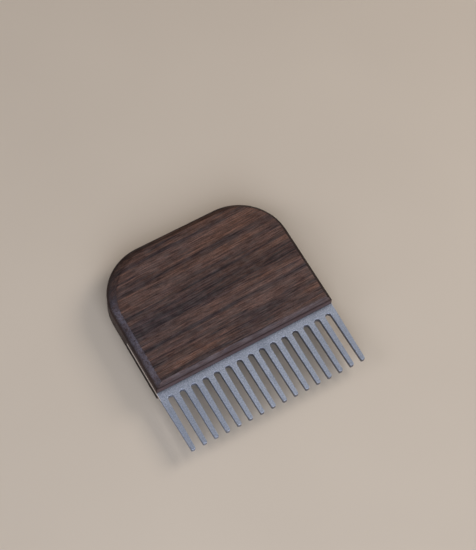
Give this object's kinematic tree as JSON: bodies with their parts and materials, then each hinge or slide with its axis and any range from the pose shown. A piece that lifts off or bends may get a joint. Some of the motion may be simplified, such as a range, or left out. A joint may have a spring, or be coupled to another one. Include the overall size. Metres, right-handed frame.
{
  "type": "flat hand comb",
  "caption": "Flat grooming comb with a bevelled walnut handle block and a thick satin steel plate of tapered teeth glued into a kerf along its front edge",
  "frame": {"origin": "middle of the handle seen from above, on the underside that rests on the table", "axes": "+Z is the upward normal of the rest face, -Y is the way the teeth point, X runs across the comb"},
  "size_m": [0.1, 0.106, 0.0184],
  "materials": {
    "walnut": "oiled dark walnut with a soft sheen and fine open pores",
    "steel": "satin, evenly blasted stainless steel with a fine mottle",
    "adhesive": "dark cured epoxy, matt"
  },
  "bodies": {
    "root": {"handle": "walnut", "comb_plate": "steel", "adhesive_bond": "adhesive"}
  },
  "joints": []
}
